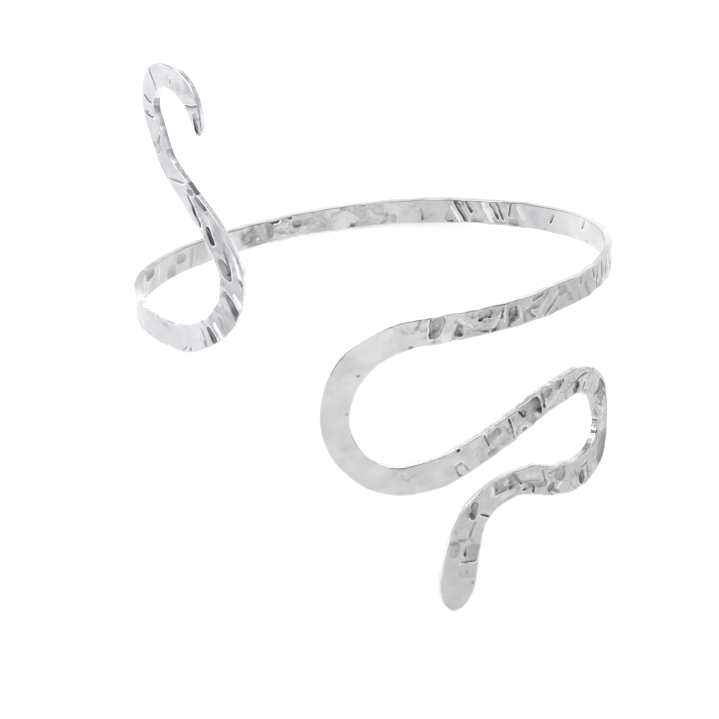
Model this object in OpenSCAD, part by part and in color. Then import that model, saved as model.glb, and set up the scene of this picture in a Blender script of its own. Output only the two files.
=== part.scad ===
// Upper arm cuff: one hammered silver strip, bent into a snake that winds once round the arm.
// Millimetres. The cuff lies on the ground z = 0 as it rests by itself, with its box centred on the origin.

/* [Arm opening] */
// Width of the arm opening, side to side
arm_w = 86.5; // [70:0.5:110]
// Depth of the arm opening, front to back
arm_d = 74.5; // [60:0.5:100]

/* [Snake] */
// Height along the arm from the tip of the head to the top of the tail's hook, on the strip's middle line
cuff_h = 98.5; // [80:0.5:120]
// Width of the strip along the body
band_w = 5.2; // [4:0.1:6.5]
// Thickness of the strip
band_t = 1.4; // [1:0.1:2]
// Width of the head at its broadest
head_w = 7.8; // [6:0.1:9.5]
// Length of the rounded end of the head
head_tip = 7; // [4:0.5:9]
// Width of the tail at its tip
tail_w = 1.6; // [1:0.1:2.4]

/* [Hammering] */
// Bevel along the edges of the strip
bevel = 0.25; // [0.1:0.05:0.4]
// Depth of the dents in both faces
dent = 0.12; // [0:0.02:0.2]
// How far the edges wander in and out
edge_wander = 0.15; // [0:0.05:0.3]
// Length of one facet along the strip
facet = 1.6; // [1.4:0.1:2.5]

/* [Hidden] */

// The strip is drawn flat on a sheet that goes once round the arm. The sheet is 260 units round
// and 100 high, so its units are shares of the girth and of cuff_h. It starts at the front.
sheet_round = 260;
sheet_high = 100;

// One row for each bend, from the tail to the head, at the middle of the bend. The columns are the
// place round and up the sheet, the way the strip heads there (0 is to the right, 90 is up), the
// bend's radius (positive for a left turn, 0 for a tip) and the width as a share of band_w, or of
// tail_w and head_w at the two tips.
bends = [
    [227.5, 90.5, 110,    0, 1.00],
    [221.5, 99.5, 160,  7.5, 0.80],
    [  213,   95, 260,    6, 0.95],
    [218.5, 83.5, 310, 19.5, 0.70],
    [  225, 77.5, 320,  -27, 0.90],
    [233.5,   62, 265,  -12, 1.00],
    [  224,   51, 200,-15.5, 1.00],
    [167.5, 49.5, 178, -303, 0.90],
    [ 56.5,   58, 179,  316, 0.95],
    [  8.5,   56, 185,   18, 1.05],
    [ -2.5,   51, 225,   16, 1.10],
    [   -3,   30, 320,   12, 1.00],
    [   12, 28.5,  20, 15.5, 1.15],
    [ 32.5,   38,  20,-10.5, 0.95],
    [   45,   39, 340,-12.5, 1.00],
    [ 53.5, 27.5, 260,   -6, 1.30],
    [ 44.5,   21, 190,-14.5, 1.10],
    [   21, 21.5, 215, 11.5, 1.00],
    [   14,  0.5, 265,    0, 1.00],
];

function round_and_up(row) = [row[0], row[1]];
function heading(row) = row[2];
function radius(row) = row[3];
function share(row) = row[4];
tip_row = len(bends) - 1;

// Sheet geometry: bend centres, and the heading of the straight between each bend and the next
function left_of(a) = [-sin(a), cos(a)];
centres = [for (row = bends) round_and_up(row) + radius(row) * left_of(heading(row))];
straights = [for (i = [0 : tip_row - 1])
    let (gap = centres[i + 1] - centres[i], swing = radius(bends[i + 1]) - radius(bends[i]))
    atan2(gap[1], gap[0]) - asin(swing / norm(gap))];

// The angle a bend turns through, positive to the left
function turn_of(i) =
    let (side = sign(radius(bends[i])), turn = side * (straights[i] - straights[i - 1]))
    side * (turn - 360 * floor(turn / 360));
function on_bend(i, a) = centres[i] - radius(bends[i]) * left_of(a);

// The middle line on the sheet, as points close together: each bend's arc, and the tips
arc_steps = 16;
sheet_line = [for (i = [0 : tip_row])
    if (i == 0 || i == tip_row) centres[i]
    else for (k = [0 : arc_steps]) on_bend(i, straights[i - 1] + turn_of(i) * k / arc_steps)];
// Where on that line the middle of each bend is
function mid_index(i) = i == 0 ? 0 : i == tip_row ? len(sheet_line) - 1
    : 1 + (i - 1) * (arc_steps + 1) + arc_steps / 2;

// The oval that the strip's middle surface follows, and the arc length round it
oval_w = (arm_w + band_t) / 2;
oval_d = (arm_d + band_t) / 2;
oval_steps = 120;
function oval_turn(k) = 360 * k / oval_steps;
function oval_speed(a) = norm([oval_w * cos(a), oval_d * sin(a)]) * PI / 180;
oval_table = [for (k = 0, s = 0; k <= oval_steps;
    s = s + oval_speed(oval_turn(k + 1 / 2)) * oval_turn(1), k = k + 1) [s, oval_turn(k)]];
girth = oval_table[len(oval_table) - 1][0];
// The angle from the front at a distance round the oval
function angle_at(s) = let (laps = floor(s / girth)) 360 * laps + lookup(s - laps * girth, oval_table);

// The middle line in millimetres round and up the arm, and the distance along it
line = [for (p = sheet_line) [p[0] * girth / sheet_round, p[1] * cuff_h / sheet_high]];
travel = [for (i = 0, s = 0; i < len(line);
    s = s + (i + 1 < len(line) ? norm(line[i + 1] - line[i]) : 0), i = i + 1) s];
band_len = travel[len(travel) - 1];
round_table = [for (i = [0 : len(line) - 1]) [travel[i], line[i][0]]];
up_table = [for (i = [0 : len(line) - 1]) [travel[i], line[i][1]]];
function row_width(i) = share(bends[i]) * (i == 0 ? tail_w : i == tip_row ? head_w : band_w);
width_table = [for (i = [0 : tip_row]) [travel[mid_index(i)], row_width(i)]];

function place_at(s) = [lookup(s, round_table), lookup(s, up_table)];
look_ahead = 0.5;
function direction_at(s) =
    let (d = place_at(min(s + look_ahead, band_len)) - place_at(max(s - look_ahead, 0))) d / norm(d);

// Both tips are rounded off: 0 at the very tip, 1 where the rounding ends
tip_flat = 0.01;
function rounding(q) = sqrt(max(tip_flat, 1 - pow(1 - min(q, 1), 2)));
tail_tip = tail_w / 2;
function width_at(s) =
    lookup(s, width_table) * rounding(s / tail_tip) * rounding((band_len - s) / head_tip);

// Distances along the strip at which it has a section, closer together round the head
tail_steps = 3;
head_steps = 9;
body_len = band_len - head_tip - tail_tip;
body_steps = round(body_len / facet);
stations = concat(
    [for (k = [0 : tail_steps - 1]) tail_tip * k / tail_steps],
    [for (k = [0 : body_steps - 1]) tail_tip + body_len * k / body_steps],
    [for (k = [0 : head_steps]) band_len - head_tip * (1 - sin(90 * k / head_steps))]
);

// A section of the strip, as points across and outwards. The points of its two faces are dented,
// and all of them follow the edges as these wander in and out.
function section(w) =
    let (h = w / 2, t = band_t / 2, b = min(bevel, w / 4))
    [[-h, t - b], [b - h, t], [-h / 3, t], [h / 3, t], [h - b, t], [h, t - b],
     [h, b - t], [h - b, -t], [0, -t], [b - h, -t], [-h, b - t]];
function on_face(p) = abs(p[1]) >= band_t / 2;
ring = len(section(band_w));
dent_seed = 11;
wander_seed = 5;
blows = rands(0, 1, len(stations) * ring, dent_seed);
wanders = rands(-1, 1, len(stations) * 2, wander_seed);
// The section's point k at station i, moved by the hammer as far as rough says: 0 is not, 1 is fully
function hammered(i, k, w, rough) =
    let (
        p = section(w)[k],
        side = p[0] > 0 ? 1 : 0,
        wander = edge_wander * min(1, w / band_w) * wanders[2 * i + side],
        sunk = on_face(p) ? dent * blows[ring * i + k] : 0
    )
    [p[0] + rough * wander * abs(2 * p[0] / w), p[1] - rough * sign(p[1]) * sunk];

// A point of the sheet, set out from the oval, in the frame of the arm
function on_arm(place, out) =
    let (
        a = angle_at(place[0]),
        normal = [oval_d * sin(a), -oval_w * cos(a), 0]
    )
    [oval_w * sin(a), -oval_d * cos(a), place[1]] + normal / norm(normal) * out;
function ring_at(i, rough) =
    let (s = stations[i], w = width_at(s), d = direction_at(s), across = [-d[1], d[0]])
    [for (k = [0 : ring - 1])
        let (p = hammered(i, k, w, rough)) on_arm(place_at(s) + across * p[0], p[1])];
last = len(stations) - 1;
smooth_points = [for (i = [0 : last]) each ring_at(i, 0)];
hammered_points = [for (i = [0 : last]) each ring_at(i, 1)];

// Triangles between neighbouring sections, with the diagonals turned about, and over both tips
function corner(i, k) = i * ring + k % ring;
strip_faces = [for (i = [0 : last - 1], k = [0 : ring - 1])
    let (a = corner(i, k), b = corner(i, k + 1), c = corner(i + 1, k + 1), d = corner(i + 1, k))
    each (i + k) % 2 == 0 ? [[a, b, c], [a, c, d]] : [[a, b, d], [b, c, d]]];
tip_faces = [for (k = [1 : ring - 2])
    each [[corner(0, 0), corner(0, k + 1), corner(0, k)],
          [corner(last, 0), corner(last, k), corner(last, k + 1)]]];

// Its centre of mass, with each section weighed by its width and its distance to the next
weights = [for (i = [0 : last - 1]) width_at(stations[i]) * (stations[i + 1] - stations[i])];
weighed = [for (i = [0 : last - 1]) on_arm(place_at(stations[i]), 0) * weights[i]];
function total(list) = list * [for (item = list) 1];
mass_centre = [for (axis = [0 : 2]) total([for (p = weighed) p[axis]])] / total(weights);

// The cuff rests leaning back and a little to one side, where its centre of mass is lowest. The
// strip before hammering decides the lean, so that no single dent does.
function up_leaning(back, side) = [sin(side), -sin(back) * cos(side), cos(back) * cos(side)];
function centre_height(up) = mass_centre * up - min([for (p = smooth_points) p * up]);
// The place between low and high where a value is least, closed in on by thirds
least_at = function(value, low, high)
    let (a = (2 * low + high) / 3, b = (low + 2 * high) / 3)
    high - low < rest_accuracy ? (low + high) / 2
    : value(a) < value(b) ? least_at(value, low, b) : least_at(value, a, high);
rest_accuracy = 0.1;
back_range = [15, 60];
side_range = [-15, 15];
back_for = function(side) least_at(
    function(back) centre_height(up_leaning(back, side)), back_range[0], back_range[1]);
rest_side = least_at(
    function(side) centre_height(up_leaning(back_for(side), side)), side_range[0], side_range[1]);
rest_back = back_for(rest_side);

// The frame it rests in: its own up, the front still facing -Y, and the middle of its box at the origin
rest_up = up_leaning(rest_back, rest_side);
rest_right = let (r = [1, 0, 0] - rest_up * rest_up[0]) r / norm(r);
rest_turn = [rest_right, cross(rest_up, rest_right), rest_up];
turned_points = [for (p = hammered_points) rest_turn * p];
function middle_of(values) = (min(values) + max(values)) / 2;
rest_move = [
    -middle_of([for (p = turned_points) p[0]]),
    -middle_of([for (p = turned_points) p[1]]),
    -min([for (p = turned_points) p[2]])
];
rest_points = [for (p = turned_points) p + rest_move];

module serpent_band() {
    color("silver")
        polyhedron(points = rest_points, faces = concat(strip_faces, tip_faces), convexity = 12);
}

serpent_band();
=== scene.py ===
# The upper arm cuff as it looks: one hammered silver strip, bent into a snake round the arm.
# Sizes are in millimetres in the frame of the arm, and metres once the strip is laid at rest.
import math

import bpy
import numpy as np
from mathutils import Matrix, Vector


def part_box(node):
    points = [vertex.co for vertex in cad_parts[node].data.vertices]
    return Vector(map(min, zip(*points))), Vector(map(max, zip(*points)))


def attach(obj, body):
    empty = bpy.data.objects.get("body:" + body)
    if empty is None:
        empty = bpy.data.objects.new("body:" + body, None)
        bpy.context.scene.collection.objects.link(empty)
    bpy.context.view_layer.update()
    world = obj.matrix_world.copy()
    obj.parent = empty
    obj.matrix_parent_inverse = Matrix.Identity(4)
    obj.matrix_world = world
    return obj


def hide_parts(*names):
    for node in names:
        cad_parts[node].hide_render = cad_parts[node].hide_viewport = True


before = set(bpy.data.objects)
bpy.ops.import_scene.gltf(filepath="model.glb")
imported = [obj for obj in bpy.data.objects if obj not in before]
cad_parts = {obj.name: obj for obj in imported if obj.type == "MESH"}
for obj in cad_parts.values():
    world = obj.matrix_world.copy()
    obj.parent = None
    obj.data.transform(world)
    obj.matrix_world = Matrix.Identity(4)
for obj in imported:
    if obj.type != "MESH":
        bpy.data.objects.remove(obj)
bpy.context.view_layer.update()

MM = 0.001
IMAGE_SIDE = 719

# Driving sizes, as in the CAD
ARM_W = 86.5
ARM_D = 74.5
CUFF_H = 98.5
BAND_W = 5.2
BAND_T = 1.4
HEAD_W = 7.8
HEAD_TIP = 7.0
TAIL_W = 1.6
OVAL_W = (ARM_W + BAND_T) / 2
OVAL_D = (ARM_D + BAND_T) / 2

# How the cuff rests: degrees that the arm's axis leans back, and to the right
REST_BACK = 33.7
REST_SIDE = -1.85

# The strip drawn flat, on a sheet SHEET_ROUND units round the arm and SHEET_HIGH high. One row for
# each bend, from the tail to the head. A positive radius turns left, and the width is a share of
# BAND_W, or of TAIL_W and HEAD_W at the two tips.
SHEET_ROUND = 260
SHEET_HIGH = 100
BENDS = [
    # round, up, heading, radius, width
    (227.5, 90.5, 110, 0, 1.00),
    (221.5, 99.5, 160, 7.5, 0.80),
    (213, 95, 260, 6, 0.95),
    (218.5, 83.5, 310, 19.5, 0.70),
    (225, 77.5, 320, -27, 0.90),
    (233.5, 62, 265, -12, 1.00),
    (224, 51, 200, -15.5, 1.00),
    (167.5, 49.5, 178, -303, 0.90),
    (56.5, 58, 179, 316, 0.95),
    (8.5, 56, 185, 18, 1.05),
    (-2.5, 51, 225, 16, 1.10),
    (-3, 30, 320, 12, 1.00),
    (12, 28.5, 20, 15.5, 1.15),
    (32.5, 38, 20, -10.5, 0.95),
    (45, 39, 340, -12.5, 1.00),
    (53.5, 27.5, 260, -6, 1.30),
    (44.5, 21, 190, -14.5, 1.10),
    (21, 21.5, 215, 11.5, 1.00),
    (14, 0.5, 265, 0, 1.00),
]
# How finely the bends and the oval are followed
ARC_STEPS = 40
OVAL_STEPS = 2880
LOOK_AHEAD = 0.5
# Width left at the very tips, as the square of its share
TIP_FLAT = 0.01


def left_of(heading):
    return np.stack([-np.sin(heading), np.cos(heading)], -1)


def sheet_line():
    """The strip's middle line on the sheet, and the index of each bend's middle on it."""
    rows = np.array(BENDS, float)
    heading, radius = rows[:, 2:4].T
    centres = rows[:, :2] + radius[:, None] * left_of(np.radians(heading))
    gaps = np.diff(centres, axis=0)
    swing = np.arcsin(np.diff(radius) / np.hypot(*gaps.T))
    straights = np.arctan2(gaps[:, 1], gaps[:, 0]) - swing
    points = [centres[:1]]
    middles = [0]
    for i in range(1, len(rows) - 1):
        side = math.copysign(1, radius[i])
        turn = side * ((side * (straights[i] - straights[i - 1])) % (2 * math.pi))
        headings = straights[i - 1] + turn * np.linspace(0, 1, ARC_STEPS + 1)
        middles.append(sum(map(len, points)) + ARC_STEPS // 2)
        points.append(centres[i] - radius[i] * left_of(headings))
    middles.append(sum(map(len, points)))
    points.append(centres[-1:])
    return np.concatenate(points), middles


class Strip:
    """The strip's middle line by distance from the tail's tip, and how it wraps round the oval."""

    def __init__(self):
        angles = np.linspace(-math.pi, 3 * math.pi, OVAL_STEPS + 1)
        middle = (angles[1:] + angles[:-1]) / 2
        speed = np.hypot(OVAL_W * np.cos(middle), OVAL_D * np.sin(middle))
        arc = np.concatenate([[0], np.cumsum(speed * np.diff(angles))])
        arc -= np.interp(0, angles, arc)
        self.angles, self.arc = angles, arc
        girth = np.interp(2 * math.pi, angles, arc)
        sheet, middles = sheet_line()
        self.line = sheet * [girth / SHEET_ROUND, CUFF_H / SHEET_HIGH]
        steps = np.hypot(*np.diff(self.line, axis=0).T)
        self.travel = np.concatenate([[0], np.cumsum(steps)])
        self.length = self.travel[-1]
        full_widths = [TAIL_W] + [BAND_W] * (len(BENDS) - 2) + [HEAD_W]
        self.widths = np.array([share for *_, share in BENDS]) * full_widths
        self.width_travel = self.travel[middles]

    def place(self, s):
        """How far round and up the arm the middle line is."""
        return np.stack([np.interp(s, self.travel, self.line[:, k]) for k in (0, 1)], -1)

    def direction(self, s):
        """Which way the middle line heads on the sheet."""
        ahead = self.place(np.minimum(s + LOOK_AHEAD, self.length))
        d = ahead - self.place(np.maximum(s - LOOK_AHEAD, 0))
        return d / np.linalg.norm(d, axis=-1, keepdims=True)

    def width(self, s):
        tail_end = rounding(s / (TAIL_W / 2))
        head_end = rounding((self.length - s) / HEAD_TIP)
        return np.interp(s, self.width_travel, self.widths) * tail_end * head_end

    def on_arm(self, place, out):
        """A point of the sheet, set out from the oval, in the frame of the arm."""
        a = np.interp(place[..., 0], self.arc, self.angles)
        normal = np.stack([OVAL_D * np.sin(a), -OVAL_W * np.cos(a), 0 * a], -1)
        normal /= np.linalg.norm(normal, axis=-1, keepdims=True)
        middle = np.stack([OVAL_W * np.sin(a), -OVAL_D * np.cos(a), place[..., 1]], -1)
        return middle + normal * out[..., None]


def rounding(q):
    """The share of the width left: small at a tip, where q is 0, and 1 where its rounding ends."""
    return np.sqrt(np.maximum(TIP_FLAT, 1 - (1 - np.minimum(q, 1)) ** 2))


strip = Strip()


# Hammer marks placed as the photo shows them. Along and across are the mark's middle, as shares of
# the strip's length and of its half width; the half length and half breadth are in millimetres,
# turned by so many degrees from the strip. Strength is how deep the mark is and how much painted
# shade darkens its colour in place of the dark reflections of its tilted facets, or, where
# negative, how much painted highlight brightens it. Marks further across than 1 are on the strip's
# thickness, the others on its faces.
MARKS = [
    # along, across, half length, half breadth, turned, strength
    (0.004, 0.25, 1.4, 0.4, 0, 0.32),
    (0.0075, -0.2, 0.7, 0.7, 0, 0.14),
    (0.0122, 0.0, 0.22, 1.5, -25, 0.20),
    (0.027, 0.25, 0.2, 0.5, 0, 0.16),
    (0.0397, -0.1, 0.24, 1.9, -5, 0.30),
    (0.041, 0.6, 0.3, 0.8, 0, 0.14),
    (0.051, 0.0, 0.24, 1.5, -12, 0.34),
    (0.0555, 1.05, 3.8, 0.35, 0, 0.14),
    (0.0573, 0.0, 0.24, 1.7, -28, 0.30),
    (0.0555, -0.3, 0.24, 1.0, 0, 0.22),
    (0.0685, -0.7, 0.6, 0.35, 0, 0.22),
    (0.0715, -0.45, 0.7, 0.35, 0, 0.22),
    (0.0705, -0.1, 0.9, 0.9, 0, 0.07),
    (0.068, 0.25, 0.24, 1.1, 35, 0.32),
    (0.079, -0.9, 1.6, 0.25, 0, 0.12),
    (0.0765, 1.05, 1.3, 0.25, 0, 0.20),
    (0.0865, 0.1, 0.22, 1.9, -48, 0.24),
    (0.0935, 1.05, 1.5, 0.3, 0, 0.38),
    (0.094, 0.6, 0.6, 0.5, 0, 0.16),
    (0.1002, 0.7, 1.5, 0.42, 0, 0.20),
    (0.1003, -0.28, 3.2, 0.24, -17, 0.32),
    (0.102, 1.1, 1.2, 0.25, 0, 0.14),
    (0.1125, -0.25, 1.8, 0.5, -10, 0.33),
    (0.118, 0.3, 2.6, 0.22, 5, 0.08),
    (0.1195, 0.8, 2.6, 0.28, 0, -0.15),
    (0.129, 0.7, 3.0, 0.32, 0, -0.20),
    (0.1265, 0.05, 2.8, 0.26, -8, 0.30),
    (0.1276, -0.38, 2.15, 0.72, 8, 0.20),
    (0.1295, -0.15, 0.5, 0.3, 0, 0.34),
    (0.133, 0.75, 0.8, 0.3, 30, 0.22),
    (0.141, 0.75, 2.2, 0.32, 45, -0.20),
    (0.1432, 0.3, 2.6, 0.65, 47, 0.26),
    (0.1445, 0.5, 0.9, 0.35, 47, 0.34),
    (0.139, -0.6, 0.8, 0.6, 0, 0.12),
    (0.151, -0.3, 2.4, 0.35, 60, 0.07),
    (0.156, 0.3, 1.8, 0.32, 80, -0.20),
    (0.1598, 0.3, 1.8, 0.5, 85, 0.27),
    (0.164, 0.2, 2.0, 0.22, 85, 0.13),
    (0.176, 0.75, 1.0, 0.25, 30, 0.18),
    (0.173, 0.85, 0.6, 0.3, 60, 0.17),
    (0.188, -0.65, 0.9, 0.5, 0, 0.10),
    (0.202, 0.7, 1.6, 0.25, 10, 0.08),
    (0.2475, 0.1, 0.25, 1.0, 0, 0.16),
    (0.2548, -0.6, 2.3, 1.15, 0, 0.22),
    (0.2645, 0.0, 0.3, 1.6, 10, -0.10),
    (0.276, 0.45, 1.4, 1.3, 10, 0.12),
    (0.2835, -0.2, 1.4, 1.0, 0, 0.14),
    (0.290, 0.1, 0.5, 2.2, 10, 0.10),
    (0.296, -0.1, 1.6, 2.0, -10, 0.07),
    (0.326, 0.0, 0.4, 2.2, 0, -0.06),
    (0.332, -0.2, 0.9, 2.0, 0, 0.08),
    (0.3345, -0.8, 1.3, 0.35, 0, 0.17),
    (0.342, -0.8, 0.5, 0.4, 0, 0.20),
    (0.345, -0.1, 1.0, 0.8, 0, 0.10),
    (0.357, 0.2, 0.9, 0.9, 0, 0.05),
    (0.370, 0.7, 0.6, 0.4, 0, 0.10),
    (0.376, -0.85, 0.6, 0.3, 0, 0.13),
    (0.3878, 0.5, 0.5, 1.1, 0, 0.10),
    (0.4005, 0.2, 0.25, 1.4, 0, 0.10),
    (0.4135, 0.4, 1.2, 1.2, 20, 0.08),
    (0.4165, 0.3, 2.2, 0.35, 60, -0.16),
    (0.4187, 0.0, 2.6, 0.45, 60, 0.19),
    (0.4225, -0.4, 1.5, 0.35, 65, 0.18),
    (0.4262, 0.75, 1.4, 0.5, 0, 0.13),
    (0.4315, -0.05, 2.5, 0.55, 65, -0.18),
    (0.4347, -0.2, 2.1, 0.3, 62, 0.18),
    (0.4377, -0.2, 2.0, 0.3, 68, 0.17),
    (0.4430, -0.35, 1.6, 0.3, 105, 0.19),
    (0.4445, 0.7, 1.3, 0.8, 0, 0.10),
    (0.449, -0.2, 1.6, 0.7, 60, -0.11),
    (0.456, 0.1, 1.9, 1.0, 70, 0.05),
    (0.466, -0.1, 0.35, 1.2, 30, 0.24),
    (0.4618, 0.85, 0.5, 0.35, 30, 0.22),
    (0.489, -0.4, 0.3, 1.2, 35, 0.24),
    (0.492, 0.85, 0.5, 0.35, 30, 0.20),
    (0.536, 0.1, 0.3, 2.2, -4, 0.24),
    (0.539, 0.0, 0.35, 1.9, 5, 0.26),
    (0.5425, -0.2, 0.3, 1.7, 12, -0.10),
    (0.546, 0.0, 0.3, 2.1, -8, 0.26),
    (0.5515, -0.2, 0.3, 1.9, 5, 0.26),
    (0.5545, 0.0, 0.4, 2.0, -6, -0.10),
    (0.5552, 0.75, 0.35, 0.35, 0, 0.30),
    (0.557, 0.2, 0.3, 2.0, -10, 0.26),
    (0.5605, -0.5, 0.3, 1.2, 30, 0.22),
    (0.566, 0.3, 0.5, 1.8, 30, 0.12),
    (0.5708, -0.6, 0.3, 0.9, -10, 0.22),
    (0.578, 0.1, 0.25, 1.7, 35, 0.11),
    (0.5825, -0.55, 1.1, 1.0, 0, 0.12),
    (0.5865, 0.75, 0.9, 0.3, 30, 0.14),
    (0.588, -0.1, 2.0, 0.3, 38, -0.10),
    (0.589, 0.35, 2.2, 0.24, 34, 0.15),
    (0.591, -0.7, 1.2, 0.24, 50, 0.13),
    (0.593, 0.1, 1.9, 0.35, 48, -0.10),
    (0.5955, -0.75, 1.4, 0.45, 15, 0.17),
    (0.5975, -0.1, 1.3, 0.4, 0, 0.15),
    (0.5995, 0.35, 1.6, 0.35, 132, 0.15),
    (0.6025, 0.45, 0.25, 1.3, 0, 0.14),
    (0.6078, -0.05, 1.0, 1.4, -10, 0.11),
    (0.6060, -0.05, 0.3, 1.2, 10, 0.17),
    (0.6045, -0.1, 0.2, 1.6, 10, -0.12),
    (0.610, 0.45, 0.22, 1.1, -20, 0.10),
    (0.6115, -0.2, 0.22, 1.9, -12, -0.18),
    (0.6135, -0.1, 1.9, 0.28, 60, 0.04),
    (0.616, 0.2, 2.2, 0.3, 52, -0.14),
    (0.6203, -0.55, 1.5, 0.8, 0, 0.09),
    (0.6228, -0.22, 0.45, 0.35, 0, 0.26),
    (0.6185, -0.3, 0.4, 0.5, 0, 0.17),
    (0.6212, 0.6, 2.4, 0.24, -8, 0.14),
    (0.6215, 0.85, 2.2, 0.35, -5, 0.09),
    (0.6285, -0.2, 1.8, 0.22, -40, -0.10),
    (0.6318, 0.2, 0.7, 1.3, -15, 0.11),
    (0.6308, 0.45, 0.4, 0.7, 0, 0.17),
    (0.6325, -0.45, 0.4, 0.3, 0, 0.12),
    (0.637, 0.5, 1.0, 1.0, 0, -0.07),
    (0.6405, -0.3, 1.1, 2.2, -24, 0.15),
    (0.6430, -0.2, 0.25, 1.9, -4, 0.16),
    (0.652, 0.85, 0.5, 0.4, 0, 0.14),
    (0.679, 0.5, 0.5, 0.35, -20, 0.10),
    (0.698, 0.75, 0.4, 0.35, 10, 0.10),
    (0.7625, -0.2, 1.2, 1.4, 0, 0.03),
    (0.765, -0.5, 0.24, 1.2, 0, 0.22),
    (0.7672, -0.1, 0.7, 0.22, 0, 0.20),
    (0.7688, -0.5, 0.22, 0.9, 10, 0.12),
    (0.7667, -0.5, 0.6, 0.9, 0, -0.05),
    (0.7695, 0.85, 0.4, 0.4, 0, 0.32),
    (0.785, 0.35, 1.5, 1.0, 10, 0.13),
    (0.7812, 0.35, 0.22, 1.3, 0, 0.21),
    (0.787, 0.4, 0.25, 0.9, 0, 0.20),
    (0.7815, -0.7, 1.3, 0.6, 0, 0.13),
    (0.789, -0.4, 1.3, 1.0, 0, 0.08),
    (0.7925, -0.05, 0.26, 2.3, -4, 0.19),
    (0.7975, -0.75, 0.5, 0.35, 0, 0.22),
    (0.8035, 0.1, 1.8, 2.3, 0, 0.12),
    (0.799, 0.45, 0.26, 1.0, 10, 0.26),
    (0.8065, 0.2, 0.9, 2.0, 5, 0.27),
    (0.805, -0.5, 0.5, 0.7, 20, -0.08),
    (0.8135, 0.5, 1.1, 0.9, 0, 0.13),
    (0.810, 0.3, 0.35, 1.6, 0, 0.28),
    (0.8103, -0.35, 0.35, 0.35, 0, 0.42),
    (0.816, -0.3, 2.4, 0.5, 20, -0.08),
    (0.8195, 0.6, 0.8, 1.0, -20, 0.18),
    (0.822, 0.7, 0.3, 0.5, 0, 0.22),
    (0.826, -0.1, 2.4, 0.25, 18, 0.12),
    (0.8298, -0.45, 1.35, 0.6, 57, 0.31),
    (0.8315, -0.3, 0.6, 0.35, 57, 0.44),
    (0.8290, -0.7, 0.4, 0.4, 0, 0.34),
    (0.8338, 0.32, 1.75, 0.28, 16, 0.29),
    (0.8345, 0.15, 1.4, 0.2, 16, -0.10),
    (0.8363, -0.42, 0.3, 0.95, -8, 0.31),
    (0.8385, -0.78, 0.5, 0.35, 0, 0.15),
    (0.8388, 0.42, 0.2, 0.75, 0, 0.14),
    (0.8485, -0.45, 1.4, 0.22, -38, 0.20),
    (0.851, -0.15, 1.4, 0.3, -38, -0.20),
    (0.8475, 0.5, 0.4, 0.3, 0, 0.14),
    (0.8556, 0.17, 2.4, 1.6, 10, 0.25),
    (0.8562, 0.62, 2.8, 0.42, 8, 0.38),
    (0.8518, 0.0, 0.4, 1.5, -20, 0.33),
    (0.8600, -0.35, 1.6, 0.25, 30, 0.24),
    (0.8615, -0.48, 1.8, 0.3, 30, -0.18),
    (0.8645, 0.8, 0.8, 0.35, 0, 0.24),
    (0.8657, -0.1, 1.8, 0.3, 76, -0.16),
    (0.8672, -0.05, 1.7, 0.22, 76, 0.20),
    (0.8700, -0.4, 0.5, 0.6, 0, 0.10),
    (0.8665, -1.05, 0.9, 0.35, 0, 0.30),
    (0.8785, -1.05, 1.0, 0.35, 0, 0.42),
    (0.8825, -0.78, 2.6, 0.25, 0, 0.20),
    (0.8802, 0.42, 2.8, 1.7, 8, 0.20),
    (0.8765, 0.3, 0.3, 1.5, 30, 0.20),
    (0.8800, -0.1, 2.2, 0.24, 12, 0.22),
    (0.8868, 0.05, 1.0, 0.28, 12, -0.20),
    (0.8915, 0.6, 0.2, 0.9, 0, 0.12),
    (0.8940, 0.4, 0.24, 1.4, 0, 0.25),
    (0.8953, 0.4, 0.24, 1.2, 0, -0.16),
    (0.8962, -0.25, 1.7, 0.24, -4, 0.25),
    (0.8970, -0.4, 1.7, 0.24, -4, -0.14),
    (0.8985, 0.4, 0.8, 1.2, 0, 0.34),
    (0.901, -0.3, 1.3, 1.3, 0, 0.05),
    (0.9135, -0.4, 1.6, 1.3, 0, 0.13),
    (0.9113, -0.5, 0.24, 1.4, 0, 0.21),
    (0.9128, 0.35, 1.2, 0.25, 53, -0.18),
    (0.914, 0.75, 1.3, 0.4, -25, 0.22),
    (0.9178, 0.5, 0.9, 0.55, 30, 0.26),
    (0.9185, -0.6, 0.7, 0.25, 30, 0.20),
    (0.9198, -0.5, 0.5, 0.22, -30, 0.18),
    (0.9228, -0.25, 0.24, 1.9, 28, 0.19),
    (0.9208, -0.1, 0.22, 1.6, 24, -0.16),
    (0.9265, 0.3, 2.4, 0.5, 0, 0.10),
    (0.9275, 0.6, 0.25, 0.8, 0, 0.25),
    (0.9290, 0.33, 0.5, 0.22, 0, 0.22),
    (0.9265, 0.6, 0.2, 0.8, 0, -0.18),
    (0.9300, -0.08, 2.4, 0.2, -2, 0.12),
    (0.9328, 0.5, 0.7, 0.3, 0, 0.15),
    (0.9368, 0.9, 0.5, 0.3, 0, 0.22),
    (0.929, -0.5, 1.8, 0.5, 5, -0.07),
    (0.9412, -0.45, 2.5, 1.25, 0, 0.13),
    (0.9405, -0.4, 0.9, 0.6, 0, -0.08),
    (0.9385, -0.3, 0.8, 1.1, 0, 0.14),
    (0.9365, -0.45, 0.26, 1.7, 34, 0.24),
    (0.941, 0.35, 1.7, 0.6, 0, -0.06),
    (0.9435, 0.85, 2.2, 0.4, 0, 0.08),
    (0.9432, 0.02, 1.6, 0.24, -7, 0.17),
    (0.9458, -0.47, 1.2, 0.22, 72, 0.19),
    (0.9475, -0.45, 1.1, 0.22, 72, -0.12),
    (0.9585, -0.6, 0.8, 0.8, 0, 0.12),
    (0.957, -0.35, 0.6, 1.6, -53, 0.22),
    (0.9555, 0.6, 0.3, 1.3, 20, 0.25),
    (0.964, 0.2, 1.8, 0.24, 0, 0.14),
    (0.9735, -0.55, 1.6, 1.1, 0, 0.07),
    (0.9745, 0.5, 1.6, 1.4, 0, 0.13),
    (0.9745, 0.1, 0.9, 0.22, 0, 0.26),
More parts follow.
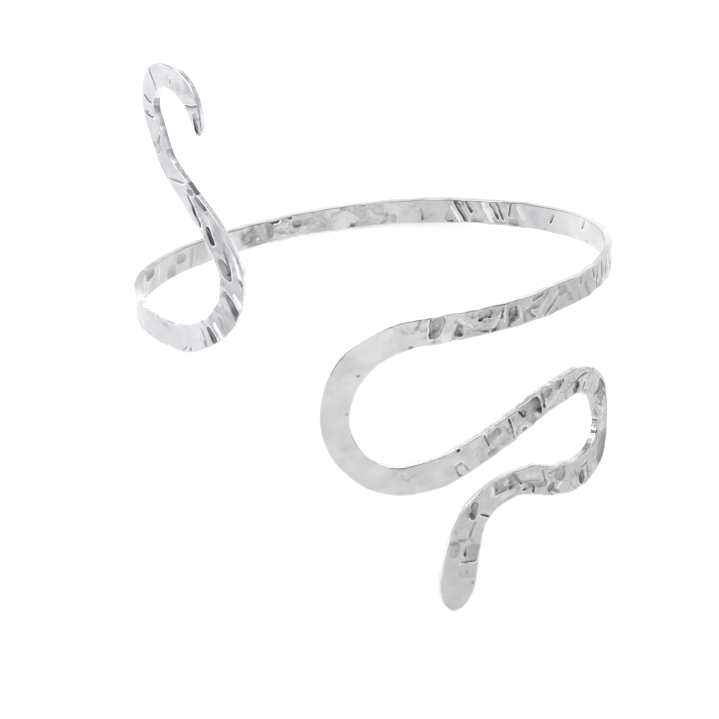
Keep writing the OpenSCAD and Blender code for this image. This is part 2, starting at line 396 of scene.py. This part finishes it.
    (0.9745, 0.9, 1.6, 0.3, 0, 0.18),
    (0.9785, 0.4, 0.26, 1.5, 12, 0.24),
    (0.983, 0.4, 1.4, 1.8, 0, 0.05),
    (0.983, 0.4, 0.4, 0.4, 0, 0.13),
    (0.9875, 0.85, 0.3, 0.5, 0, 0.13),
]
MARK_DEPTH = 0.45
# Outline of a mark: 2 would be an oval, more has corners
MARK_CORNERS = 3.0
# How far it wanders along and across the strip, in how many millimetres, and how the waves lean
MARK_WARP = 0.2
WARP_STEP = 1.8
WARP_SEED = 20
WARP_LEANS = (1.7, -1.3)
# A mark and its rim reach no further than this share of its longer half, and the margin asked for
MARK_REACH = 1.2
# Least distance from a mark's middle, as a share of its halves, so that nothing is divided by 0
MARK_MIDDLE = 0.02
# How much darker a mark's painted shade gets from one side to the other
MARK_SLANT = 0.4
# A mark deeper than RIM_FROM has a painted highlight along its rim on the side away from the tail
RIM_FROM = 0.14
RIM_SIDE = -0.4
RIM_PAINTED_HIGHLIGHT = -0.18
RIM_WIDTH = 0.3
# and, when it is broad, a fine dark line of painted shade round it
LINE_FROM = 0.4
LINE_SHADE = 0.18
LINE_WIDTH = 0.13
# How far from a mark's outline the distance to it is kept
RIM_REACH = 0.6

# How strongly the strip is hammered all over, by share of its length: 0 is smooth
ROUGHNESS_ALONG = [
    (0.00, 0.8), (0.06, 0.7), (0.15, 0.8), (0.25, 0.7), (0.27, 0.5), (0.34, 0.45), (0.36, 0.35),
    (0.40, 0.6), (0.45, 0.7), (0.47, 0.3), (0.52, 0.3), (0.545, 1.0), (0.59, 0.9), (0.61, 0.7),
    (0.64, 0.9), (0.66, 0.3), (0.75, 0.3), (0.79, 1.0), (0.83, 1.1), (0.85, 1.3), (0.88, 1.3),
    (0.90, 1.2), (0.94, 1.0), (0.948, 0.4), (0.956, 0.4), (0.965, 0.9), (0.98, 0.4), (1.00, 0.3),
]
# How much painted highlight brightens the strip's thickness over its faces, by share of its length;
# where negative, painted shade darkens it
EDGE_PAINTED_LIGHT_ALONG = [
    (0.00, 0.5), (0.215, 0.5), (0.235, -0.25), (0.255, -0.25), (0.275, -0.05), (0.50, 0.0),
    (0.525, 0.1), (0.545, 0.1), (0.56, 0.5), (1.00, 0.5),
]
# Painted light and shade along the strip, as how bright its colour is, and a lilac tint
PAINTED_LIGHT_AND_LILAC_ALONG = [
    # share of the strip's length, how bright, how lilac
    (0.00, 0.95, 0.036), (0.03, 0.85, 0.036), (0.07, 0.71, 0.034), (0.10, 0.87, 0.036),
    (0.14, 0.93, 0.036), (0.20, 0.77, 0.028), (0.285, 0.78, 0.012), (0.33, 1.03, 0.012),
    (0.36, 1.09, 0.012), (0.40, 0.82, 0.012), (0.46, 0.76, 0.018), (0.485, 1.00, 0.020),
    (0.522, 0.95, 0.020), (0.54, 0.69, 0.016), (0.57, 0.68, 0.006), (0.595, 0.72, 0.0),
    (0.61, 0.86, 0.0), (0.66, 0.98, 0.0), (0.71, 0.86, 0.0), (0.79, 0.90, 0.0), (0.81, 0.77, 0.0),
    (0.835, 0.76, 0.0), (0.86, 0.60, 0.0), (0.905, 0.74, 0.0), (0.92, 0.70, 0.0),
    (0.95, 0.85, 0.0), (1.00, 0.78, 0.0),
]
# Spare values that each noise has before the strip's start, and in all, for points that lean past
# the strip's ends
NOISE_BEFORE = 4
NOISE_SPARE = 12
# Overlapping hollows all over both faces: their spacing, how far they stray along the strip and, as
# a share of its half width, across it, their halves, and their greatest depth and its shares
HOLLOW_SPACING = 1.0
HOLLOW_STRAY = 0.8
HOLLOW_ACROSS = 1.1
HOLLOW_HALF_LENGTHS = (1.2, 3.4)
HOLLOW_HALF_BREADTHS = (1.0, 2.6)
HOLLOW_DEPTH = 0.11
HOLLOW_SHARES = (0.3, 1.0)
HOLLOW_SEED = 7
# Folds across the strip, coarse and fine, and how they lean one way and the other along it
FOLD_STEP = 3.4
FOLD_HEIGHT = 0.13
FOLD_SEED = 8
FINE_FOLD_STEP = 0.45
FINE_FOLD_SHARE = 0.4
LEAN = 0.9
LEAN_STEP = 9
LEAN_SEED = 10
# How far the edges wander, and for each edge: step and seed of its kinks, then step, seed and share
# of its finer noise
EDGE_WANDER = 0.22
EDGES = [(3.1, 1, 1.1, 2, 0.4), (2.7, 3, 2.0, 4, 0.3)]


def noise_along(s, step, seed, kinked=False):
    """Noise between -1 and 1 that changes over step millimetres, smoothly or with kinks."""
    count = int(strip.length / step) + NOISE_SPARE
    values = np.random.default_rng(seed).uniform(-1, 1, count)
    x = s / step + NOISE_BEFORE
    i = np.floor(x).astype(int)
    t = x - i
    if not kinked:
        t = t * t * (3 - 2 * t)
    return values[i] * (1 - t) + values[i + 1] * t


def along_strip(table, s):
    """The values of a table by share of the strip's length, at a distance along it."""
    shares, *columns = zip(*table)
    values = [np.interp(s / strip.length, shares, column) for column in columns]
    return values[0] if len(values) == 1 else values


def hollows(seed):
    """Overlapping hollows all along one face, as rows like those of MARKS but in millimetres."""
    rng = np.random.default_rng(seed)
    count = int(strip.length / HOLLOW_SPACING)
    stray = rng.uniform(-HOLLOW_STRAY, HOLLOW_STRAY, count)
    s = np.clip(np.linspace(0, strip.length, count) + stray, 0, strip.length)
    across = rng.uniform(-HOLLOW_ACROSS, HOLLOW_ACROSS, count) * strip.width(s) / 2
    half_length = rng.uniform(*HOLLOW_HALF_LENGTHS, count)
    half_breadth = rng.uniform(*HOLLOW_HALF_BREADTHS, count)
    turned = rng.uniform(-90, 90, count)
    depth = HOLLOW_DEPTH * rng.uniform(*HOLLOW_SHARES, count) * along_strip(ROUGHNESS_ALONG, s)
    return np.stack([s, across, half_length, half_breadth, turned, depth], -1)


def charted_marks():
    """The rows of MARKS in millimetres."""
    rows = np.array(MARKS, float)
    rows[:, 0] *= strip.length
    rows[:, 1] *= strip.width(rows[:, 0]) / 2
    return rows


def in_mark(s, across, row, margin=0):
    """Which points a mark can reach, and where these lie along its two axes: 1 is at its rim."""
    place, side, half_length, half_breadth, turned = row[:5]
    near = np.abs(s - place) < MARK_REACH * max(half_length, half_breadth) + margin
    ds, da = s[near] - place, across[near] - side
    c, z = math.cos(math.radians(turned)), math.sin(math.radians(turned))
    return near, (ds * c + da * z) / half_length, (da * c - ds * z) / half_breadth


def dents(s, across, marks):
    """How deep the marks are at points of a face. Where two meet, the deeper one shows."""
    deep = np.zeros_like(s)
    for row in marks:
        near, p, q = in_mark(s, across, row)
        *_, depth = row
        deep[near] = np.maximum(deep[near], depth * np.maximum(0, 1 - p * p - q * q))
    return deep


def inside_mark(p, q, half_length, half_breadth):
    """How many millimetres inside a mark's outline points are: less than 0 is outside."""
    p, q = np.abs(p), np.abs(q)
    size = (p ** MARK_CORNERS + q ** MARK_CORNERS) ** (1 / MARK_CORNERS)
    size = np.maximum(MARK_MIDDLE, size)
    steepness = np.hypot((p / size) ** (MARK_CORNERS - 1) / half_length,
                         (q / size) ** (MARK_CORNERS - 1) / half_breadth)
    return np.clip((1 - size) / steepness, -RIM_REACH, RIM_REACH)


def shades(s, across, marks):
    """At each point: its mark's strength, how far inside the mark it is, and its rim and line."""
    strength, inside = np.zeros_like(s), np.full_like(s, -RIM_REACH)
    rim, line = np.zeros_like(s), np.zeros_like(s)
    s_lean, across_lean = WARP_LEANS
    s = s + MARK_WARP * noise_along(s + s_lean * across, WARP_STEP, WARP_SEED, True)
    warp = noise_along(s + across_lean * across, WARP_STEP, WARP_SEED + 1, True)
    across = across + MARK_WARP * warp
    for row in marks:
        half_length, half_breadth, _, depth = row[2:]
        near, p, q = in_mark(s, across, row, RIM_REACH)
        depth_in = inside_mark(p, q, half_length, half_breadth)
        slanted = depth * (1 + MARK_SLANT * np.clip(p if half_length < half_breadth else q, -1, 1))
        # Which marks get the painted highlight along their rim, on one side only
        rimmed = (p + q > RIM_SIDE) * (depth > RIM_FROM)
        lined = (depth > RIM_FROM) * (min(half_length, half_breadth) > LINE_FROM)
        taken = (depth_in > 0) | (depth_in > inside[near]) & (inside[near] < 0)
        for layer, value in ((strength, slanted), (inside, depth_in), (rim, rimmed), (line, lined)):
            layer[near] = np.where(taken, value, layer[near])
    return np.stack([strength, inside, rim, line])


# Mesh of the strip: sections close together, each a ring of points round the strip
SECTION_STEP = 0.27
TAIL_SECTIONS = [0, 0.05, 0.12, 0.22]
HEAD_SECTIONS = 26
FACE_STEPS = 20
EDGE_ROUND = 0.12
ROUND_STEPS = 3
# Where the strip is narrower than this, its roundings shrink with it
ROUNDED_WIDTH = 4 * EDGE_ROUND
# From this share of the half width on, a point belongs to the strip's thickness
EDGE_FROM = 0.92
# The pattern of the inner face is read this far from that of the outer face
FACES_APART = 40


def section_shape():
    """One ring of points: each one's share of the flat half width, how far past it, and out."""
    half = BAND_T / 2
    points = []
    for side, face in ((1, 1), (1, -1), (-1, -1), (-1, 1)):
        turns = np.linspace(0, 90, ROUND_STEPS + 1)
        turns = turns if side * face < 0 else turns[::-1]
        for turn in np.radians(turns):
            across = math.cos(turn) * EDGE_ROUND
            out = face * (half - EDGE_ROUND + math.sin(turn) * EDGE_ROUND)
            points.append((side, across, out))
        if (side, face) == (1, -1):
            points += [(x, 0.0, -half) for x in np.linspace(1, -1, FACE_STEPS + 1)[1:-1]]
    points += [(x, 0.0, half) for x in np.linspace(-1, 1, FACE_STEPS + 1)[1:-1]]
    return np.array(points)


def section_places():
    """Distances along the strip at which it has a section, closer together at its tips."""
    body = np.arange(0, strip.length - HEAD_TIP, SECTION_STEP)
    head = strip.length - HEAD_TIP * (1 - np.sin(np.linspace(0, math.pi / 2, HEAD_SECTIONS)))
    return np.unique(np.concatenate([TAIL_SECTIONS, body[1:], head]))


def edge_wander(s, across):
    """How far the nearer edge is off its line at each point, as a share of EDGE_WANDER."""
    right, left = [noise_along(s, step, seed, True) + share * noise_along(s, fine_step, fine_seed)
                   for step, seed, fine_step, fine_seed, share in EDGES]
    return np.where(across > 0, right[:, None], left[:, None])


def sunk_by(along, across, outer):
    """How deep the hollows and the charted marks go into the outer and the inner face."""
    charted = charted_marks() * [1, 1, 1, 1, 1, MARK_DEPTH]
    deep = np.zeros_like(along)
    for face, seed in ((outer, HOLLOW_SEED), (~outer, HOLLOW_SEED + 1)):
        marks = np.concatenate([hollows(seed), charted])
        deep[:, face] = dents(along[:, face], across[:, face], marks)
    return deep


def folds(s, along, across):
    """How high the folds lift the whole strip, as a share of FOLD_HEIGHT."""
    leaning = along + across * LEAN * noise_along(s, LEAN_STEP, LEAN_SEED)[:, None]
    coarse = noise_along(leaning, FOLD_STEP, FOLD_SEED, True)
    fine = noise_along(leaning, FOLD_STEP * FINE_FOLD_STEP, FOLD_SEED + 1, True)
    return coarse + FINE_FOLD_SHARE * fine


def mark_layers(along, across, share):
    """The layers of the charted marks. Those for the thickness show there and nowhere else."""
    charted = charted_marks()
    for_side = np.abs(np.array(MARKS)[:, 1]) > 1
    values = np.where(np.abs(share) > EDGE_FROM, shades(along, across, charted[for_side]),
                      shades(along, across, charted[~for_side]))
    return dict(zip(("strength", "inside", "rim", "line"), values))


def strip_points():
    """The points of every section, on the arm, and the layers and chart for the material."""
    s, ring = section_places(), section_shape()
    outer = ring[:, 2] > 0
    width = strip.width(s)[:, None]
    half = width / 2
    thin = np.minimum(1, width / ROUNDED_WIDTH)
    calm = np.minimum(1, width / BAND_W)
    rough = along_strip(ROUGHNESS_ALONG, s)[:, None]
    apart = np.where(outer, 0, FACES_APART)
    along, rough, out, apart = np.broadcast_arrays(s[:, None], rough, ring[:, 2], apart)

    # Across, with the roundings and the wander of the edges, then out, with the hammering
    across = (half - EDGE_ROUND * thin) * ring[:, 0] + np.sign(ring[:, 0]) * ring[:, 1] * thin
    share = across / half
    across = across * (1 + EDGE_WANDER * edge_wander(s, across) * calm * rough / half)
    out = (out - np.sign(out) * sunk_by(along, across, outer) * calm
           + FOLD_HEIGHT * folds(s, along, across) * rough)
    direction = strip.direction(s)
    sideways = np.stack([-direction[:, 1], direction[:, 0]], -1)
    place = strip.place(s)[:, None, :] + sideways[:, None, :] * across[..., None]

    # What the material reads
    # Painted highlight along the strip's thickness, or painted shade where it is negative
    painted_edge_light = np.clip((np.abs(share) - EDGE_FROM) / (1 - EDGE_FROM), 0, 1)
    painted_edge_light *= along_strip(EDGE_PAINTED_LIGHT_ALONG, s)[:, None]
    # Painted light and shade along the strip, and its lilac tint
    bright, lilac = along_strip(PAINTED_LIGHT_AND_LILAC_ALONG, along)
    layers = {"hammering": rough, "edge": painted_edge_light, "bright": bright, "lilac": lilac,
              **mark_layers(along, across, share)}
    return strip.on_arm(place, out), layers, np.stack([along, across, apart], -1)


def at_rest(points):
    """The turn from the arm's frame to the one the cuff rests in, and the points turned by it."""
    back, side = math.radians(REST_BACK), math.radians(REST_SIDE)
    up = np.array([math.sin(side), -math.sin(back) * math.cos(side),
                   math.cos(back) * math.cos(side)])
    right = np.array([1, 0, 0]) - up * up[0]
    right /= np.linalg.norm(right)
    turn = np.array([right, np.cross(up, right), up])
    return turn, points @ turn.T


def strip_faces(sections, ring):
    """Quads between neighbouring sections, and a face over each tip."""
    faces = []
    for i in range(sections - 1):
        for k in range(ring):
            n = (k + 1) % ring
            faces.append((i * ring + k, i * ring + n, (i + 1) * ring + n, (i + 1) * ring + k))
    faces.append(tuple(range(ring - 1, -1, -1)))
    faces.append(tuple((sections - 1) * ring + k for k in range(ring)))
    return faces


def build_strip():
    """The strip at rest, and how it was turned and moved to get there from the arm's frame."""
    points, layers, chart = strip_points()
    turn, turned = at_rest(points.reshape(-1, 3) * MM)
    # Onto the floor, in the middle of the CAD's own box
    low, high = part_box("serpent_band")
    move = (np.array(low) + np.array(high) - turned.min(0) - turned.max(0)) / 2
    move[2] = low[2] - turned[:, 2].min()
    mesh = bpy.data.meshes.new("serpent_strip")
    mesh.from_pydata((turned + move).tolist(), [], strip_faces(*points.shape[:2]))
    mesh.update()
    for name, values in layers.items():
        layer = mesh.attributes.new(name, "FLOAT", "POINT")
        layer.data.foreach_set("value", values.reshape(-1).astype(np.float32))
    layer = mesh.attributes.new("chart", "FLOAT_VECTOR", "POINT")
    layer.data.foreach_set("vector", chart.reshape(-1).astype(np.float32))
    mesh.polygons.foreach_set("use_smooth", [True] * len(mesh.polygons))
    piece = bpy.data.objects.new("serpent_strip", mesh)
    bpy.context.scene.collection.objects.link(piece)
    return piece, turn, move


class Graph:
    """The nodes of a material or world. A value given to one is a constant or another's output."""

    def __init__(self, owner):
        owner.use_nodes = True
        self.nodes, self.links = owner.node_tree.nodes, owner.node_tree.links

    def feed(self, value, socket):
        if isinstance(value, bpy.types.NodeSocket):
            self.links.new(value, socket)
        else:
            socket.default_value = value

    def node(self, kind, inputs=None, **settings):
        node = self.nodes.new(kind)
        for name, setting in settings.items():
            setattr(node, name, setting)
        for name, value in (inputs or {}).items():
            self.feed(value, node.inputs[name])
        return node

    def attribute(self, name, output="Fac"):
        return self.node("ShaderNodeAttribute", attribute_name=name).outputs[output]

    def math(self, operation, *values):
        node = self.node("ShaderNodeMath", operation=operation)
        for value, socket in zip(values, node.inputs):
            self.feed(value, socket)
        return node.outputs[0]

    def vector_math(self, operation, first, second=(0, 0, 0)):
        node = self.node("ShaderNodeVectorMath", operation=operation)
        self.feed(first, node.inputs[0])
        self.feed(second, node.inputs["Scale"] if operation == "SCALE" else node.inputs[1])
        return node.outputs["Vector"]

    def noise(self, place, scale, detail, output="Fac"):
        inputs = {"Vector": place, "Scale": scale, "Detail": detail}
        return self.node("ShaderNodeTexNoise", inputs).outputs[output]

    def remap(self, value, old, new=(0, 1)):
        """The value carried on a straight line from the old range to the new, and kept in it."""
        inputs = {"Value": value, "From Min": old[0], "From Max": old[1],
                  "To Min": new[0], "To Max": new[1]}
        return self.node("ShaderNodeMapRange", inputs).outputs["Result"]

    def greys(self, value, stops):
        """A ramp of greys from stops, each a position and how light it is."""
        node = self.node("ShaderNodeValToRGB")
        elements = node.color_ramp.elements
        while len(elements) < len(stops):
            elements.new(0.5)
        for element, (position, light) in zip(elements, stops):
            element.position = position
            element.color = (light, light, light, 1)
        self.feed(value, node.inputs["Fac"])
        return node.outputs["Color"]


# Facets of the hammering, in millimetres along and across the strip. Each noise has its scale and
# its detail.
FACET_SIZE = 4.4
FACET_TURN = 0.15
FACET_BLUR = 0.9
STIR_NOISE = (0.45, 2)
MIDDLE_COLOUR = (0.5, 0.5, 0.5)
# The creases between them are darkened with painted shade where the hammering times a noise mask is
# strong
CREASE_WIDTH = 0.035
CREASE_TONE = 0.55
CREASE_MASK_NOISE = (0.5, 1)
CREASE_MASK_RANGE = (0.38, 0.58)
# The charted marks: how far they lean, how dark their painted shade makes them and how sharp their
# outline is
MARK_LEAN = 0.4
MARK_PAINTED_SHADE = 1.9
SHARPNESS = 0.06
# Clouds of duller silver, and how much green the lilac takes away
CLOUD_NOISE = (0.3, 3)
SILVER_STOPS = [(0.35, 0.61), (0.65, 0.67)]
LILAC_GREEN = -0.3
# Fine grain: its roughness, and its relief in metres
GRAIN_NOISE = (1.2, 4)
GRAIN_ROUGHNESS = (0.06, 0.20)
GRAIN_STRENGTH = 0.35
GRAIN_HEIGHT = 0.00006


def mark_shade(graph):
    """Painted shade inside the charted marks and in a line round them, and a painted highlight rim.
    """
    inside = graph.attribute("inside")
    # The mark's inside: painted shade, or a painted highlight where its strength is negative
    filled = graph.remap(inside, (-SHARPNESS, SHARPNESS))
    filled = graph.math("MULTIPLY", filled, graph.attribute("strength"))
    # A fine line of painted shade round broad marks
    line = graph.remap(graph.math("ABSOLUTE", inside), (LINE_WIDTH, 0))
    line = graph.math("MULTIPLY", line, graph.attribute("line"))
    # Painted highlight in a band just outside the mark's rim
    rim = graph.math("MULTIPLY", graph.remap(inside, (-RIM_WIDTH, -RIM_WIDTH / 2)),
                     graph.remap(inside, (0, -RIM_WIDTH / 3)))
    rim = graph.math("MULTIPLY", rim, graph.attribute("rim"))
    shade = graph.math("MULTIPLY_ADD", line, LINE_SHADE, filled)
    return graph.math("MULTIPLY_ADD", rim, RIM_PAINTED_HIGHLIGHT, shade)


def stirred_chart(graph, chart):
    """The chart with wandering lines, so that the facets' borders wander."""
    stir = graph.noise(chart, *STIR_NOISE, output="Color")
    centred = graph.vector_math("SUBTRACT", stir, MIDDLE_COLOUR)
    blur = graph.vector_math("SCALE", centred, FACET_BLUR * FACET_SIZE)
    return graph.vector_math("ADD", chart, blur)


def turned_normal(graph, stirred, hammering, marked, arm_up):
    """The normal, with each facet turned its own way and the marks leaning up the arm."""
    cells = graph.node("ShaderNodeTexVoronoi", {"Vector": stirred, "Scale": 1 / FACET_SIZE})
    turn = graph.vector_math("SUBTRACT", cells.outputs["Color"], MIDDLE_COLOUR)
    turn = graph.vector_math("SCALE", turn, FACET_TURN)
    turn = graph.vector_math("SCALE", turn, hammering)
    up = graph.node("ShaderNodeCombineXYZ", dict(zip("XYZ", map(float, arm_up))))
    lean = graph.vector_math("SCALE", up.outputs["Vector"], marked)
    lean = graph.vector_math("SCALE", lean, MARK_LEAN)
    to_world = graph.node("ShaderNodeVectorTransform", {"Vector": lean}, vector_type="VECTOR",
                          convert_from="OBJECT", convert_to="WORLD")
    offset = graph.vector_math("ADD", turn, to_world.outputs["Vector"])
    geometry = graph.node("ShaderNodeNewGeometry")
    turned = graph.vector_math("ADD", geometry.outputs["Normal"], offset)
    return graph.vector_math("NORMALIZE", turned)


def crease_shade(graph, chart, stirred, hammering):
    """How light the painted shade leaves the metal along the facets' borders: 1 is as light as
    elsewhere.
    """
    borders = graph.node("ShaderNodeTexVoronoi", {"Vector": stirred, "Scale": 1 / FACET_SIZE},
                         feature="DISTANCE_TO_EDGE")
    crease = graph.remap(borders.outputs["Distance"], (0, CREASE_WIDTH))
    crease_mask = graph.math("MULTIPLY", graph.noise(chart, *CREASE_MASK_NOISE), hammering)
    least = graph.remap(crease_mask, CREASE_MASK_RANGE, (1.0, CREASE_TONE))
    return graph.remap(crease, (0, 1), (least, 1.0))


def painted_light_and_lilac(graph):
    """How bright the painted light and shade make the colour, with less green and more blue where
    it is lilac.
    """
    bright, lilac = graph.attribute("bright"), graph.attribute("lilac")
    parts = {"X": bright, "Y": graph.math("MULTIPLY_ADD", lilac, LILAC_GREEN, bright),
             "Z": graph.math("ADD", bright, lilac)}
    return graph.node("ShaderNodeCombineXYZ", parts).outputs["Vector"]


def hammered_silver(arm_up):
    """Polished silver in facets, with fine creases between them and the charted marks."""
    material = bpy.data.materials.new("hammered_silver")
    graph = Graph(material)
    shader = graph.nodes["Principled BSDF"]
    shader.inputs["Metallic"].default_value = 1.0
    chart = graph.attribute("chart", "Vector")
    hammering = graph.attribute("hammering")
    marked = mark_shade(graph)
    stirred = stirred_chart(graph, chart)

    silver = graph.greys(graph.noise(chart, *CLOUD_NOISE), SILVER_STOPS)
    # Painted light and shade along the strip, with its lilac tint
    colour = graph.vector_math("MULTIPLY", silver, painted_light_and_lilac(graph))
    # Painted shade along the facets' borders
    crease = crease_shade(graph, chart, stirred, hammering)
    # Painted shade of the charted marks, or a painted highlight where it is negative
    painted_mark_shade = graph.math("MULTIPLY_ADD", marked, -MARK_PAINTED_SHADE, 1.0)
    # Painted highlight along the strip's thickness, or painted shade where it is negative
    painted_edge_light = graph.math("ADD", graph.attribute("edge"), 1.0)
    for factor in (crease, painted_mark_shade, painted_edge_light):
        colour = graph.vector_math("SCALE", colour, factor)
    graph.feed(colour, shader.inputs["Base Color"])

    grain = graph.noise(chart, *GRAIN_NOISE)
    graph.feed(graph.remap(grain, (0, 1), GRAIN_ROUGHNESS), shader.inputs["Roughness"])
    normal = turned_normal(graph, stirred, hammering, marked, arm_up)
    bump = graph.node("ShaderNodeBump", {"Strength": GRAIN_STRENGTH, "Distance": GRAIN_HEIGHT,
                                         "Height": grain, "Normal": normal})
    graph.feed(bump.outputs["Normal"], shader.inputs["Normal"])
    return material


# Camera, fitted to the photo in the arm's frame: degrees, millimetres, and a scale in pixels to the
# millimetre at its aim. It is then carried to the frame at rest.
CAMERA_TILT = 21.18
CAMERA_ROLL = -0.80
CAMERA_DISTANCE = 704.4
CAMERA_SCALE = 5.308
CAMERA_AIM = (-2.7, 0.0, 35.6)
CAMERA_CLIP = (0.01, 20)
SENSOR = 36.0


def add_camera(turn, move):
    tilt, roll = math.radians(CAMERA_TILT), math.radians(CAMERA_ROLL)
    forward = np.array([0, math.cos(tilt), -math.sin(tilt)])
    level_up = np.array([0, math.sin(tilt), math.cos(tilt)])
    right = np.array([math.cos(roll), 0, 0]) + level_up * math.sin(roll)
    up = level_up * math.cos(roll) - np.array([math.sin(roll), 0, 0])
    place = (np.array(CAMERA_AIM) - forward * CAMERA_DISTANCE) * MM
    matrix = Matrix.Identity(4)
    for column, axis in enumerate((right, up, -forward)):
        matrix.col[column] = (*(turn @ axis), 0)
    matrix.col[3] = (*(turn @ place + move), 1)
    data = bpy.data.cameras.new("camera")
    data.sensor_width = SENSOR
    data.lens = CAMERA_SCALE * CAMERA_DISTANCE / IMAGE_SIDE * SENSOR
    data.clip_start, data.clip_end = CAMERA_CLIP
    camera = bpy.data.objects.new("camera", data)
    camera.matrix_world = matrix
    bpy.context.scene.collection.objects.link(camera)
    bpy.context.scene.camera = camera


FLOOR_SIZE = 8
FLOOR_COLOUR = (0.93, 0.93, 0.93, 1)
FLOOR_ROUGHNESS = 0.9
FLOOR_SPECULAR = 0.1


def add_floor():
    bpy.ops.mesh.primitive_plane_add(size=FLOOR_SIZE)
    floor = bpy.context.object
    floor.name = "floor"
    material = bpy.data.materials.new("pale_floor")
    material.use_nodes = True
    shader = material.node_tree.nodes["Principled BSDF"]
    shader.inputs["Base Color"].default_value = FLOOR_COLOUR
    shader.inputs["Roughness"].default_value = FLOOR_ROUGHNESS
    shader.inputs["Specular IOR Level"].default_value = FLOOR_SPECULAR
    floor.data.materials.append(material)


# Soft square lights, in metres in the frame at rest
LIGHTS = [
    # name, place, aim, size, power
    ("key", (-0.30, 0.12, 0.45), (-0.2, 0.05, 0), 0.3, 1.6),
    ("floor_fill", (0.12, 0.12, 0.50), (0.10, 0.05, 0), 0.4, 0.5),
]


def add_light(name, place, aim, size, power):
    """One of the LIGHTS, without shadows."""
    data = bpy.data.lights.new(name, "AREA")
    data.size = size
    data.energy = power
    data.use_shadow = False
    light = bpy.data.objects.new(name, data)
    light.location = place
    light.rotation_euler = (Vector(aim) - Vector(place)).to_track_quat("-Z", "Y").to_euler()
    bpy.context.scene.collection.objects.link(light)


# The world's light by height, once the sides are raised, the clouds added and all of it scaled
WORLD_STRENGTH = 1.4
SIDES_RAISED = 0.42
WORLD_NOISE = (3.0, 2)
WORLD_CLOUDS = 0.4
HEIGHT_SCALE = 0.8
WORLD_STOPS = [
    # height, light
    (0.00, 0.85), (0.36, 0.85), (0.50, 0.75), (0.56, 0.20),
    (0.62, 0.12), (0.74, 0.16), (0.80, 0.60), (1.00, 0.90),
]


def add_studio():
    """A pale surround with a dark band above eye level, which the tilted facets mirror."""
    world = bpy.data.worlds.new("studio")
    bpy.context.scene.world = world
    graph = Graph(world)
    way = graph.node("ShaderNodeTexCoord").outputs["Generated"]
    split = graph.node("ShaderNodeSeparateXYZ", {"Vector": way})
    aside = graph.math("ABSOLUTE", split.outputs["X"])
    height = graph.math("MULTIPLY_ADD", aside, SIDES_RAISED, split.outputs["Z"])
    clouds = graph.noise(way, *WORLD_NOISE)
    height = graph.math("MULTIPLY_ADD", clouds, WORLD_CLOUDS, height)
    height = graph.math("MULTIPLY", height, HEIGHT_SCALE)
    background = graph.nodes["Background"]
    graph.feed(graph.greys(height, WORLD_STOPS), background.inputs["Color"])
    background.inputs["Strength"].default_value = WORLD_STRENGTH
    for light in LIGHTS:
        add_light(*light)
    scene = bpy.context.scene
    scene.view_settings.view_transform = "Standard"
    scene.view_settings.exposure = 0.0


piece, turn, move = build_strip()
piece.data.materials.append(hammered_silver(turn[:, 2]))
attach(piece, "root")
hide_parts("serpent_band")
add_camera(turn, move)
add_floor()
add_studio()
